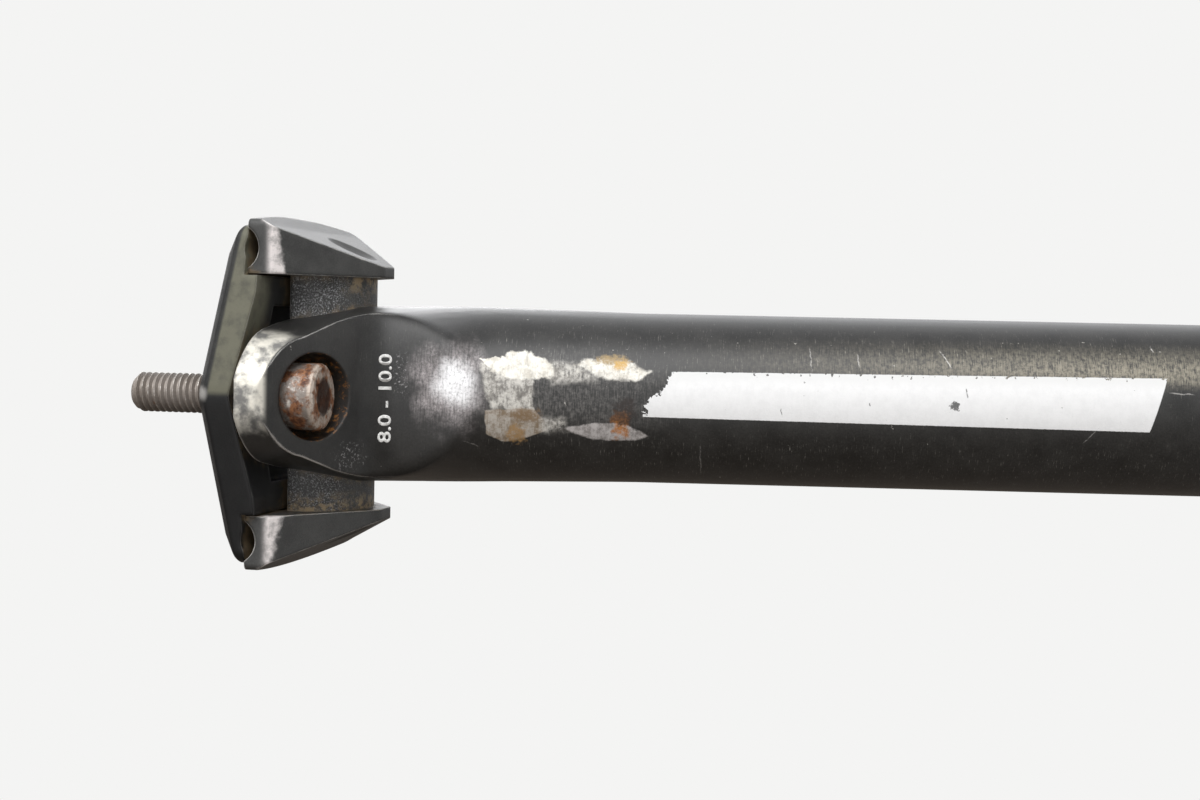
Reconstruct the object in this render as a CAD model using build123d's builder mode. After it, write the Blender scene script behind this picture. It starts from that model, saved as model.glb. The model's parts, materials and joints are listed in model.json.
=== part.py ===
from build123d import *

import os
from math import cos, radians, sin, sqrt, tan

# A bicycle seatpost with a two-bolt saddle clamp.
# +Z runs up the post, +Y points forwards on the bicycle, and +X to the rider's right.
# The origin is the centre of the tube's lower end. Sizes are millimetres and degrees.

# Post
post_diameter = 27.2
post_bore = 22.6
pivot_height = 346.0
pivot_setback = 5.0
swell_drop = 52.0
neck_diameter = 28.2
neck_drop = 27.0
bore_drop = 54.0
bore_cone_height = 5.0
bore_chamfer = 0.8

# Clamp frame: the rails lean forwards from square to the post
clamp_lean = 9.7
bolt_offset = 18.5

# Head of the post
lug_radius = 10.3
lug_foot_radius = 8.7
lug_corner_inset = 0.3
head_half_width = 13.8
head_top_half_width = 11.8
lug_top = 1.1
lug_top_flat = 2.0
lug_top_fall = 8.0
lug_foot = -9.5
facet_level = -7.7
facet_slope = 24.5
facet_bend = 7.0
nose_round = 4.6
nose_edge_round = 0.9
rear_flat_margin = 0.02
scoop_drop = 48.0
scoop_depth = 10.0
scoop_bend = 9.0
blend_steps = 5

# Tilting cradle
barrel_radius = 10.0
seat_clearance = 0.15
rail_diameter = 7.0
rail_spacing = 44.0
ear_inner = 18.2
ear_outer = 26.3
ear_bulge = 1.2
ear_half_length = 19.3
ear_top = 3.0
ear_end_drop = 3.2
ear_bottom = -12.6
ear_bottom_half_length = 2.5
ear_bottom_outer = 19.9
ear_shoulder = 25.5
ear_toe_round = 2.2
ear_heel_round = 2.0
ear_corner_round = 1.0
ear_shoulder_round = 6.0
cradle_groove_depth = 1.7
dent_radius = 9.0
dent_depth = 1.1

# Top plate
plate_peak = 9.1
plate_peak_round = 8.0
plate_shoulder = 21.0
plate_shoulder_level = 6.2
plate_half_width = 25.5
plate_end_level = 4.0
plate_underside = 3.85
plate_end_margin = 5.5
plate_nose_round = 9.0
plate_corner_round = 2.5
plate_edge_bevel = 1.2
tongue_clearance = 0.3
tongue_bottom = 0.9
tongue_flat = 2.6
plate_wall = 4.0
plate_pocket_half_length = 13.5
plate_pocket_half_width = 13.5
plate_groove_depth = 0.3

# Bolts and washers
thread_diameter = 6.0
thread_clearance = 0.15
bolt_length = 24.0
bolt_head_diameter = 10.0
bolt_head_height = 6.0
bolt_head_chamfer = 0.6
bolt_tip_chamfer = 0.8
hex_key = 5.0
hex_depth = 3.2
hex_turn = 30.0
washer_diameter = 11.2
washer_hole = 6.5
washer_thickness = 1.2
washer_dome_radius = 20.0
washer_gap = 0.3
recess_diameter = 13.2
recess_ceiling = -1.5
recess_floor = -13.0
bolt_hole_diameter = 7.6

# Worked out from the sizes above
pivot = Vector(0, -pivot_setback, pivot_height)
lean = radians(clamp_lean)
clamp_up = Vector(0, sin(lean), cos(lean))
clamp_back = Vector(0, -cos(lean), sin(lean))
clamp_top_view = Plane(origin=pivot, x_dir=(1, 0, 0), z_dir=clamp_up)
clamp_side_view = Plane(origin=pivot, x_dir=clamp_back, z_dir=(-1, 0, 0))
clamp_rear_view = Plane(origin=pivot, x_dir=(1, 0, 0), z_dir=clamp_back)
neck_radius = neck_diameter / 2
neck_height = pivot_height - neck_drop
half_post_width = neck_radius + ear_outer
plate_half_length = bolt_offset + plate_end_margin
rail_axis_level = ear_top - cradle_groove_depth + rail_diameter / 2
plate_rail_axis_level = ear_top + plate_groove_depth - rail_diameter / 2
washer_top = recess_ceiling - washer_gap
bolt_bearing = washer_top - washer_thickness


def on_side(back, up):
    """A point of the clamp's side view, as the post's own Y and Z."""
    place = pivot + clamp_back * back + clamp_up * up
    return (place.Y, place.Z)


def level_of(edge):
    """How far the middle of an edge stands above the tilt axis, square to the rails."""
    return (edge.center() - pivot).dot(clamp_up)


def head_outline(plane, half_width, half_spacing, end_radius, corner_inset):
    """A long round outline of the head: two bowed sides between two rounded ends."""
    corner = end_radius - corner_inset
    corner_reach = half_spacing + sqrt(end_radius**2 - corner**2)
    tip = half_spacing + end_radius
    with BuildSketch(plane) as outline:
        with BuildLine():
            ThreePointArc((corner, -corner_reach), (half_width, 0), (corner, corner_reach))
            ThreePointArc((corner, corner_reach), (0, tip), (-corner, corner_reach))
            ThreePointArc((-corner, corner_reach), (-half_width, 0), (-corner, -corner_reach))
            ThreePointArc((-corner, -corner_reach), (0, -tip), (corner, -corner_reach))
        make_face()
    return outline.sketch


def head_section(share):
    """The head's outline at a share of the way from the round neck up to the two lugs."""
    ease = share * share * (3 - 2 * share)
    centre = Vector(0, 0, neck_height) * (1 - share) + (pivot + clamp_up * lug_foot) * share
    tilt = lean * share
    neck_inset = neck_radius * (1 - 1 / sqrt(2))
    return head_outline(
        Plane(origin=centre, x_dir=(1, 0, 0), z_dir=(0, sin(tilt), cos(tilt))),
        neck_radius + (head_half_width - neck_radius) * ease,
        bolt_offset * ease,
        neck_radius + (lug_foot_radius - neck_radius) * ease,
        neck_inset + (lug_corner_inset - neck_inset) * ease,
    )


# Post: the tube, its neck and the two lugs are one forging, scooped away under the lugs
with BuildPart() as post:
    with BuildSketch(Plane.XZ):
        with BuildLine():
            Polyline(
                (0, 0),
                (post_diameter / 2, 0),
                (post_diameter / 2, pivot_height - swell_drop),
                (neck_radius, neck_height),
                (0, neck_height),
                close=True,
            )
        make_face()
    revolve(axis=Axis.Z)
    loft([head_section(step / blend_steps) for step in range(blend_steps + 1)])
    lug_ceiling = head_outline(
        clamp_top_view.offset(lug_top), head_top_half_width, bolt_offset, lug_radius, lug_corner_inset
    )
    loft([head_section(1), lug_ceiling])

    facet_run = tan(radians(facet_slope))
    lug_tip = bolt_offset + lug_radius
    tip_level = facet_level + lug_radius * facet_run
    rear_flat = -neck_radius - rear_flat_margin
    rear_drop = (rear_flat + pivot_setback + bolt_offset * cos(lean) - facet_level * sin(lean)) / (
        cos(lean) - facet_run * sin(lean)
    )
    rear_corner = on_side(bolt_offset - rear_drop, facet_level - rear_drop * facet_run)
    front_flat = neck_radius - scoop_depth
    front_drop = (bolt_offset * cos(lean) + facet_level * sin(lean) - pivot_setback - front_flat) / (
        cos(lean) + facet_run * sin(lean)
    )
    front_corner = on_side(front_drop - bolt_offset, facet_level - front_drop * facet_run)
    rear_nose = on_side(lug_tip, tip_level)
    rear_brow = on_side(lug_tip, lug_top)
    front_brow = on_side(-lug_tip, lug_top)
    front_nose = on_side(-lug_tip, tip_level)
    bends = (
        (rear_corner, facet_bend),
        (rear_nose, nose_round),
        (rear_brow, nose_edge_round),
        (front_brow, nose_edge_round),
        (front_nose, nose_round),
        (front_corner, scoop_bend),
    )
    with BuildSketch(Plane.YZ) as silhouette:
        with BuildLine():
            Polyline(
                (rear_flat, 0),
                *[place for place, bend in bends],
                (neck_radius, pivot_height - scoop_drop),
                (neck_radius, 0),
                close=True,
            )
        make_face()
        for place, bend in bends:
            fillet(silhouette.vertices().sort_by_distance((*place, 0))[0], bend)
    extrude(amount=half_post_width, both=True, mode=Mode.INTERSECT)

    lug_side_level = lug_top - (half_post_width - lug_top_flat) * tan(radians(lug_top_fall))
    with BuildSketch(clamp_rear_view):
        with BuildLine():
            Polyline(
                (lug_top_flat, lug_top),
                (half_post_width, lug_side_level),
                (half_post_width, 2 * lug_top),
                (lug_top_flat, 2 * lug_top),
                close=True,
            )
        make_face()
        mirror(about=Plane.YZ)
    extrude(amount=lug_tip, both=True, mode=Mode.SUBTRACT)

    with BuildSketch(clamp_side_view):
        Circle(barrel_radius + seat_clearance)
        with Locations((0, barrel_radius / 2)):
            Rectangle(2 * (barrel_radius + seat_clearance), barrel_radius)
    extrude(amount=half_post_width, both=True, mode=Mode.SUBTRACT)

    with BuildSketch(Plane.XZ):
        bore_top = pivot_height - bore_drop
        with BuildLine():
            Polyline(
                (0, 0),
                (post_bore / 2, 0),
                (post_bore / 2, bore_top),
                (0, bore_top + bore_cone_height),
                close=True,
            )
        make_face()
    revolve(axis=Axis.Z, mode=Mode.SUBTRACT)
    chamfer(post.faces().sort_by(Axis.Z)[0].edges().sort_by(SortBy.LENGTH)[0], bore_chamfer)

    with BuildSketch(clamp_top_view.offset(recess_floor)):
        with Locations((0, bolt_offset), (0, -bolt_offset)):
            Circle(recess_diameter / 2)
    extrude(amount=recess_ceiling - recess_floor, dir=clamp_up, mode=Mode.SUBTRACT)
    with BuildSketch(clamp_top_view.offset(recess_floor)):
        with Locations((0, bolt_offset), (0, -bolt_offset)):
            Circle(bolt_hole_diameter / 2)
    extrude(amount=lug_top - recess_floor + barrel_radius, dir=clamp_up, mode=Mode.SUBTRACT)
post.part.label = "post"

# One ear of the cradle, cut to its side, rear and top outlines
with BuildPart() as ear:
    heel_level = ear_top - ear_end_drop
    with BuildSketch(clamp_side_view.offset(-ear_inner)) as ear_side:
        with BuildLine():
            Polyline(
                (-ear_half_length, ear_top),
                (ear_half_length, ear_top),
                (ear_half_length, heel_level),
                (ear_bottom_half_length, ear_bottom),
                (-ear_bottom_half_length, ear_bottom),
                (-ear_half_length, heel_level),
                close=True,
            )
        make_face()
        fillet(ear_side.vertices().sort_by(Axis.Y)[2:4], ear_heel_round)
        fillet(ear_side.vertices().sort_by(Axis.Y)[:2], ear_toe_round)
    extrude(amount=-(ear_outer + ear_bulge - ear_inner))
    with BuildSketch(clamp_rear_view) as ear_back:
        with BuildLine():
            Polyline(
                (ear_inner, ear_top),
                (ear_outer + ear_bulge, ear_top),
                (ear_shoulder, heel_level),
                (ear_bottom_outer, ear_bottom),
                (ear_inner, ear_bottom),
                close=True,
            )
        make_face()
        fillet(ear_back.vertices().sort_by_distance((ear_shoulder, heel_level, 0))[0], ear_shoulder_round)
    extrude(amount=ear_half_length, both=True, mode=Mode.INTERSECT)
    with BuildSketch(clamp_top_view) as ear_plan:
        with BuildLine():
            Polyline(
                (ear_outer, -ear_half_length),
                (ear_inner, -ear_half_length),
                (ear_inner, ear_half_length),
                (ear_outer, ear_half_length),
            )
            ThreePointArc(
                (ear_outer, ear_half_length),
                (ear_outer + ear_bulge, 0),
                (ear_outer, -ear_half_length),
            )
        make_face()
        fillet(ear_plan.vertices().sort_by(Axis.X)[-2:], ear_corner_round)
    extrude(amount=2 * ear_bottom, both=True, mode=Mode.INTERSECT)
    shoulder = pivot + clamp_up * heel_level + Vector(ear_shoulder, 0, 0)
    toe = pivot + clamp_up * ear_bottom + Vector(ear_bottom_outer, 0, 0)
    outward = clamp_back.cross(toe - shoulder).normalized()
    with Locations((shoulder + toe) / 2 + outward * (dent_radius - dent_depth)):
        Sphere(dent_radius, mode=Mode.SUBTRACT)

# Lower cradle: a half barrel between two ears that carry the rails
with BuildPart() as lower_cradle:
    with BuildSketch(clamp_side_view):
        with BuildLine():
            Line((barrel_radius, 0), (-barrel_radius, 0))
            CenterArc((0, 0), barrel_radius, 180, 180)
        make_face()
    extrude(amount=ear_inner, both=True)
    add(ear.part)
    mirror(ear.part, about=Plane.YZ)
    with BuildSketch(clamp_rear_view):
        with Locations((rail_spacing / 2, rail_axis_level), (-rail_spacing / 2, rail_axis_level)):
            Circle(rail_diameter / 2)
    extrude(amount=ear_half_length, both=True, mode=Mode.SUBTRACT)
lower_cradle.part.label = "lower_cradle"

# Top plate: a shallow roof, pocketed below, that nests between the ears
with BuildPart() as top_clamp:
    tongue = ear_inner - tongue_clearance
    roof_run = (plate_peak - plate_shoulder_level) / plate_shoulder
    roof_edge = plate_peak - plate_half_width * roof_run
    with BuildSketch(clamp_rear_view):
        with BuildLine():
            Polyline(
                (0, plate_peak),
                (plate_half_width, roof_edge),
                (plate_half_width, ear_top),
                (tongue, ear_top),
                (tongue, tongue_bottom),
                (tongue - tongue_flat, tongue_bottom),
                (0, plate_underside),
            )
            mirror(about=Plane.YZ)
        roof = make_face()
        fillet(roof.vertices().sort_by(Axis.Y)[-1], plate_peak_round)
    extrude(amount=plate_half_length, both=True)
    with BuildSketch(clamp_top_view) as plate_plan:
        with BuildLine():
            Polyline(
                (0, plate_half_length),
                (plate_half_width, ear_half_length),
                (plate_half_width, -ear_half_length),
                (0, -plate_half_length),
                (-plate_half_width, -ear_half_length),
                (-plate_half_width, ear_half_length),
                close=True,
            )
        make_face()
        fillet(plate_plan.vertices().sort_by_distance((0, 0, 0))[:2], plate_nose_round)
        fillet(plate_plan.vertices().sort_by_distance((0, 0, 0))[-4:], plate_corner_round)
    extrude(amount=plate_peak, dir=clamp_up, mode=Mode.INTERSECT)
    rim_edges = top_clamp.edges().filter_by(lambda edge: level_of(edge) > roof_edge)
    rim_edges = rim_edges.filter_by(Axis(pivot, clamp_up), reverse=True)
    rim_edges = rim_edges.filter_by(Axis(pivot, clamp_back), reverse=True)
    chamfer(rim_edges, plate_edge_bevel)
    with BuildSketch(clamp_rear_view):
        with BuildLine():
            Polyline(
                (plate_shoulder, plate_shoulder_level),
                (plate_half_width, plate_end_level),
                (plate_half_width, plate_peak),
                (plate_shoulder, plate_peak),
                close=True,
            )
        make_face()
        mirror(about=Plane.YZ)
    extrude(amount=plate_half_length, both=True, mode=Mode.SUBTRACT)
    pocket_peak = plate_peak - plate_wall
    pocket_edge = pocket_peak - plate_pocket_half_width * roof_run
    with BuildSketch(clamp_rear_view):
        with BuildLine():
            Polyline(
                (0, pocket_peak),
                (plate_pocket_half_width, pocket_edge),
                (plate_pocket_half_width, 0),
                (-plate_pocket_half_width, 0),
                (-plate_pocket_half_width, pocket_edge),
                close=True,
            )
        make_face()
    extrude(amount=plate_pocket_half_length, both=True, mode=Mode.SUBTRACT)
    with BuildSketch(clamp_rear_view):
        with Locations(
            (rail_spacing / 2, plate_rail_axis_level), (-rail_spacing / 2, plate_rail_axis_level)
        ):
            Circle(rail_diameter / 2)
    extrude(amount=plate_half_length, both=True, mode=Mode.SUBTRACT)
    with BuildSketch(clamp_top_view):
        with Locations((0, bolt_offset), (0, -bolt_offset)):
            Circle(thread_diameter / 2 + thread_clearance)
    extrude(amount=plate_peak, dir=clamp_up, mode=Mode.SUBTRACT)
top_clamp.part.label = "top_clamp"


def make_bolt(side):
    """A socket-head bolt whose axis stands on the given side of the pivot."""
    bearing = clamp_top_view.offset(bolt_bearing)
    with BuildPart() as bolt:
        with BuildSketch(bearing):
            with Locations((0, -side * bolt_offset)):
                Circle(bolt_head_diameter / 2)
        extrude(amount=-bolt_head_height)
        head_face = bolt.faces().sort_by(Axis((0, 0, 0), clamp_up))[0]
        chamfer(head_face.edges(), bolt_head_chamfer)
        with BuildSketch(bearing):
            with Locations((0, -side * bolt_offset)):
                Circle(thread_diameter / 2)
        extrude(amount=bolt_length)
        tip_face = bolt.faces().sort_by(Axis((0, 0, 0), clamp_up))[-1]
        chamfer(tip_face.edges(), bolt_tip_chamfer)
        with BuildSketch(bearing.offset(-bolt_head_height)):
            with Locations((0, -side * bolt_offset)):
                RegularPolygon(hex_key / 2, 6, major_radius=False, rotation=hex_turn)
        extrude(amount=hex_depth, mode=Mode.SUBTRACT)
    return bolt.part


def make_washer(side):
    """A washer with a domed upper face, so that the bolt can lean as the saddle tilts."""
    with BuildPart() as washer:
        with BuildSketch(clamp_top_view.offset(bolt_bearing)):
            with Locations((0, -side * bolt_offset)):
                Circle(washer_diameter / 2)
                Circle(washer_hole / 2, mode=Mode.SUBTRACT)
        extrude(amount=washer_thickness)
        dome_drop = washer_dome_radius - sqrt(washer_dome_radius**2 - (bolt_hole_diameter / 2) ** 2)
        dome_level = washer_top - washer_dome_radius + dome_drop
        dome_centre = pivot + clamp_up * dome_level + clamp_back * (side * bolt_offset)
        with Locations(dome_centre):
            Sphere(washer_dome_radius, mode=Mode.INTERSECT)
    return washer.part


rear_bolt = make_bolt(1)
rear_bolt.label = "rear_bolt"
front_bolt = make_bolt(-1)
front_bolt.label = "front_bolt"
rear_washer = make_washer(1)
rear_washer.label = "rear_washer"
front_washer = make_washer(-1)
front_washer.label = "front_washer"

os.makedirs("parts", exist_ok=True)
export_step(post.part, "parts/post.step")
export_step(lower_cradle.part, "parts/lower_cradle.step")
export_step(top_clamp.part, "parts/top_clamp.step")
export_step(rear_bolt, "parts/rear_bolt.step")
export_step(front_bolt, "parts/front_bolt.step")
export_step(rear_washer, "parts/rear_washer.step")
export_step(front_washer, "parts/front_washer.step")
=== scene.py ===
# %% [markdown]
# # A worn bicycle seatpost
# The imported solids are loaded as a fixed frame, in metres. The post stands on its lower end with +Z up,
# +Y is forwards on the bicycle and +X is to the rider's right. Everything below dresses that frame.

# %% Load the frame
import json
from math import cos, pi, radians, sin

import bmesh
import bpy
from mathutils import Matrix, Vector
from mathutils.bvhtree import BVHTree


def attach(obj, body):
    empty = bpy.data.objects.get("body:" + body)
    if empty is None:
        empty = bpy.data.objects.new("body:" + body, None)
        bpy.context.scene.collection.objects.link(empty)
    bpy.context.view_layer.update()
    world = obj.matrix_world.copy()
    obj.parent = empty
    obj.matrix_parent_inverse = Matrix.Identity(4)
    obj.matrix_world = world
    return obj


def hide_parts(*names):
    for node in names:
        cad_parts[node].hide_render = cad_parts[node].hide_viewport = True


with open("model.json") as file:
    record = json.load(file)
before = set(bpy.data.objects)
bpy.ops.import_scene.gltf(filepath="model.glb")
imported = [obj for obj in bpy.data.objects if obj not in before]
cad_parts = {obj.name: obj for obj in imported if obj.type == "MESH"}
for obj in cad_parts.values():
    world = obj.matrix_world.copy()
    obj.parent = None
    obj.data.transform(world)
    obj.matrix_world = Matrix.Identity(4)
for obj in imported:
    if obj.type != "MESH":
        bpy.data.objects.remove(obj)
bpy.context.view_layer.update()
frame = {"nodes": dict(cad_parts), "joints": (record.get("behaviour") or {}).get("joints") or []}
joints = {joint["name"]: joint for joint in frame["joints"]}
nodes = frame["nodes"]
scene = bpy.context.scene
print("nodes", sorted(nodes))

# %% [markdown]
# ## Places that the finishes need
# The saddle clamp leans on the post, so its own directions come from the joints: the tilt axis gives the
# pivot, and the slide of the top plate gives the way up, square to the saddle rails. The two bolts stand
# at the same distance before and behind the pivot.

# %% The clamp's own directions
MM = 0.001
POST_RADIUS = 13.6
BOLT_OFFSET = 18.5
pivot = Vector(joints["saddle_tilt"]["pos_m"])
clamp_up = Vector(joints["clamp_open"]["axis"])
clamp_back = Vector((0, -clamp_up.z, clamp_up.y))
print("pivot", [round(value, 4) for value in pivot])

# %% [markdown]
# ## Camera
# The photograph looks at the post from behind, with the post lying level across the picture. The post
# stands upright here, so it is the camera that is turned on its side. Three small angles place it: the
# post slopes a little in the picture, its lower end is nearer to the lens, and the lens stands a little
# to the rider's right.

# %% The photograph's camera
PHOTO_WIDTH = 1200
PHOTO_HEIGHT = 800
FOCAL_PIXELS = 1800
SENSOR_MM = 36
camera_distance = 0.2905
slope_in_picture = radians(1.33)
lower_end_nearer = radians(2.8)
turn_to_right = radians(2.3)
aim_below_pivot = 0.0457
aim_pixel = Vector((600, 397))

post_in_view = Vector((
    -cos(slope_in_picture) * cos(lower_end_nearer),
    sin(slope_in_picture) * cos(lower_end_nearer),
    -sin(lower_end_nearer),
))
to_lens = Vector((0, 0, 1))
to_lens = (to_lens - post_in_view * to_lens.dot(post_in_view)).normalized()
across = post_in_view.cross(to_lens)
right_in_view = across * cos(turn_to_right) + to_lens * sin(turn_to_right)
forward_in_view = post_in_view.cross(right_in_view)
view_to_object = Matrix((right_in_view, forward_in_view, post_in_view))
aim_in_view = Vector((
    (aim_pixel.x - PHOTO_WIDTH / 2) / FOCAL_PIXELS * camera_distance,
    (PHOTO_HEIGHT / 2 - aim_pixel.y) / FOCAL_PIXELS * camera_distance,
    -camera_distance,
))
aim_point = Vector((0, 0, pivot.z - aim_below_pivot))

camera_data = bpy.data.cameras.new("photo_camera")
camera_data.sensor_fit = "HORIZONTAL"
camera_data.sensor_width = SENSOR_MM
camera_data.lens = SENSOR_MM * FOCAL_PIXELS / PHOTO_WIDTH
camera_data.clip_start = 0.01
camera_data.clip_end = 50
camera = bpy.data.objects.new("photo_camera", camera_data)
scene.collection.objects.link(camera)
lens_point = aim_point - view_to_object @ aim_in_view
camera.matrix_world = Matrix.Translation(lens_point) @ view_to_object.to_4x4()
scene.camera = camera
print("camera at", [round(value, 3) for value in camera.location])

# %% [markdown]
# ## Node helpers
# A finish is a graph of small nodes. These few helpers add one node each and join it up, so that a
# material below reads as a list of masks and colours.


# %% Helpers for node graphs
def feed(tree, socket, value):
    """Join a socket to another node's output, or set its number or colour."""
    if isinstance(value, bpy.types.NodeSocket):
        tree.links.new(value, socket)
    else:
        socket.default_value = value


def put(tree, kind, inputs=None, **settings):
    """Add a shader node with its settings and inputs."""
    node = tree.nodes.new("ShaderNode" + kind)
    for name, value in settings.items():
        setattr(node, name, value)
    for name, value in (inputs or {}).items():
        feed(tree, node.inputs[name], value)
    return node


def reckon(tree, operation, *values):
    """One sum on numbers."""
    node = put(tree, "Math", operation=operation)
    for socket, value in zip(node.inputs, values):
        feed(tree, socket, value)
    return node.outputs[0]


def product(tree, *masks):
    """Multiply any number of masks."""
    result = masks[0]
    for mask in masks[1:]:
        result = reckon(tree, "MULTIPLY", result, mask)
    return result


def ramp(tree, value, start, end, low=0.0, high=1.0):
    """A soft step from low at the start to high at the end."""
    inputs = {"Value": value, "From Min": start, "From Max": end, "To Min": low, "To Max": high}
    return put(tree, "MapRange", inputs, interpolation_type="SMOOTHSTEP").outputs["Result"]


def layer(tree, mask, below, above):
    """Lay one colour over another by a mask."""
    node = put(tree, "Mix", data_type="RGBA")
    feed(tree, node.inputs[0], mask)
    feed(tree, node.inputs[6], below)
    feed(tree, node.inputs[7], above)
    return node.outputs[2]


def noise(tree, place, scale, detail=2.0, roughness=0.5):
    """Cloudy noise, about 0.5 on average; the scale counts blotches a millimetre."""
    inputs = {"Vector": place, "Scale": scale, "Detail": detail, "Roughness": roughness}
    return put(tree, "TexNoise", inputs).outputs[0]


def swing(tree, value, amount):
    """Turn a value about 0.5 into a push either way."""
    return product(tree, reckon(tree, "SUBTRACT", value, 0.5), amount)


def paint(red, green, blue):
    """A solid colour."""
    return (red, green, blue, 1.0)


def new_finish(name, roughness):
    """An empty node material; return it with its tree and its Principled shader."""
    finish = bpy.data.materials.new(name)
    finish.use_nodes = True
    shader = finish.node_tree.nodes["Principled BSDF"]
    shader.inputs["Roughness"].default_value = roughness
    return finish, finish.node_tree, shader


print("node helpers ready")

# %% [markdown]
# ## Stage and light
# The photograph has a plain pale ground that is bright all round, with a big soft source above the
# picture. The picture's upper side is the rider's right, so the light comes from +X. The world fades
# towards -X, which gives the dark lower edge of the tube. The camera itself sees a plain backdrop.

# %% The world
BACKDROP = paint(0.905, 0.905, 0.897)
WARM_LIGHT = paint(1.0, 0.84, 0.70)
COOL_LIGHT = paint(0.97, 0.98, 1.0)
world = bpy.data.worlds.new("studio")
scene.world = world
world.use_nodes = True
sky = world.node_tree
backdrop = sky.nodes["Background"]
backdrop.inputs["Color"].default_value = BACKDROP
direction = put(sky, "TexCoord").outputs["Generated"]
towards = put(sky, "SeparateXYZ", {"Vector": direction}).outputs
from_right = ramp(sky, towards["X"], -0.35, 0.3, 0.2, 0.75)
low_band = ramp(sky, reckon(sky, "ABSOLUTE", towards["Z"]), 0.5, 0.2)
far_right = product(sky, ramp(sky, towards["Y"], 0.2, 0.9), ramp(sky, towards["X"], 0.0, 0.4))
skylight = put(sky, "Background", {
    "Color": layer(sky, ramp(sky, towards["X"], -0.5, 0.1), WARM_LIGHT, COOL_LIGHT),
    "Strength": reckon(sky, "ADD", from_right, product(sky, far_right, low_band, 1.5)),
})
seen = put(sky, "LightPath").outputs["Is Camera Ray"]
both = put(sky, "MixShader", {"Fac": seen})
sky.links.new(skylight.outputs[0], both.inputs[1])
sky.links.new(backdrop.outputs[0], both.inputs[2])
sky.links.new(both.outputs[0], sky.nodes["World Output"].inputs["Surface"])
scene.view_settings.view_transform = "Standard"
print("world", len(sky.nodes), "nodes")

# %% [markdown]
# A broad panel on the rider's right gives the soft streak along the tube. Two weaker ones, behind and in
# front, open the shadows. Each is placed by its turn from straight behind, its lift and its distance.

# %% The lights
for name, turn, lift, distance, width, height, watts in (
    ("panel_right", 50, 12, 0.62, 0.44, 0.8, 5.0),
    ("fill_behind", -10, 12, 0.7, 0.45, 0.6, 1.0),
    ("fill_front", 165, 25, 0.8, 0.5, 0.6, 3.0),
):
    lamp_data = bpy.data.lights.new(name, "AREA")
    lamp_data.shape = "RECTANGLE"
    lamp_data.size = width
    lamp_data.size_y = height
    lamp_data.energy = watts
    lamp = bpy.data.objects.new(name, lamp_data)
    scene.collection.objects.link(lamp)
    flat = cos(radians(lift))
    way = Vector((sin(radians(turn)) * flat, -cos(radians(turn)) * flat, sin(radians(lift))))
    facing = way.to_track_quat("Z", "Y").to_matrix().to_4x4()
    lamp.matrix_world = Matrix.Translation(aim_point + way * distance) @ facing

# %% [markdown]
# The post stands on a pale round floor, which takes its shadow. The floor fades out towards its rim, so
# that no edge of it shows against the backdrop.

# %% The floor
FLOOR_RADIUS = 0.5
FLOOR_COLOUR = paint(0.64, 0.64, 0.635)
floor_mesh = bpy.data.meshes.new("pale_floor")
floor_form = bmesh.new()
bmesh.ops.create_circle(floor_form, cap_ends=True, radius=FLOOR_RADIUS, segments=96)
floor_form.to_mesh(floor_mesh)
floor_form.free()
floor = bpy.data.objects.new("pale_floor", floor_mesh)
scene.collection.objects.link(floor)
finish, tree, shader = new_finish("pale_floor", 0.9)
shader.inputs["Base Color"].default_value = FLOOR_COLOUR
floor_place = put(tree, "TexCoord").outputs["Object"]
from_middle = put(tree, "VectorMath", {0: floor_place}, operation="LENGTH").outputs["Value"]
feed(tree, shader.inputs["Alpha"], ramp(tree, from_middle, FLOOR_RADIUS, 0.4 * FLOOR_RADIUS))
floor_mesh.materials.append(finish)
print("floor", round(FLOOR_RADIUS, 2), "m in radius")

# %% [markdown]
# ## Shared effects
# The same few things happen to every piece of an old seatpost. Each is one node group here, placed in the
# materials below with its own numbers. All read Object coordinates in millimetres, so that they stay put
# when a piece moves.


# %% A group with named sockets
FLOAT = "NodeSocketFloat"


def new_group(name, inputs, outputs):
    """Start a shader node group; return its tree, its inputs and its output node."""
    tree = bpy.data.node_groups.new(name, "ShaderNodeTree")
    for socket_name, value in inputs:
        tree.interface.new_socket(socket_name, in_out="INPUT", socket_type=FLOAT).default_value = value
    for socket_name in outputs:
        tree.interface.new_socket(socket_name, in_out="OUTPUT", socket_type=FLOAT)
    given = tree.nodes.new("NodeGroupInput").outputs
    return tree, given, tree.nodes.new("NodeGroupOutput")


def place_group(tree, group, **values):
    """Use a group in a material; words in the names are joined by underscores."""
    node = tree.nodes.new("ShaderNodeGroup")
    node.node_tree = group
    for name, value in values.items():
        feed(tree, node.inputs[name.replace("_", " ")], value)
    return node.outputs


def millimetres(tree):
    """Object coordinates in millimetres, as a vector."""
    place = put(tree, "TexCoord").outputs["Object"]
    scaled = put(tree, "VectorMath", {"Vector": place, "Scale": 1 / MM}, operation="SCALE")
    return scaled.outputs["Vector"]


def along(tree, place, way):
    """How far a place in millimetres lies from the pivot, along a direction."""
    moved = put(tree, "VectorMath", {0: place, 1: pivot / MM}, operation="SUBTRACT").outputs["Vector"]
    return put(tree, "VectorMath", {0: moved, 1: way}, operation="DOT_PRODUCT").outputs["Value"]


print("group helpers ready")

# %% [markdown]
# ### Edge wear
# Paint goes first from the edges. A rounded normal differs from the true one only near an edge, so the
# angle between them is the mask. Inner corners are kept out by their shade.

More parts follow.
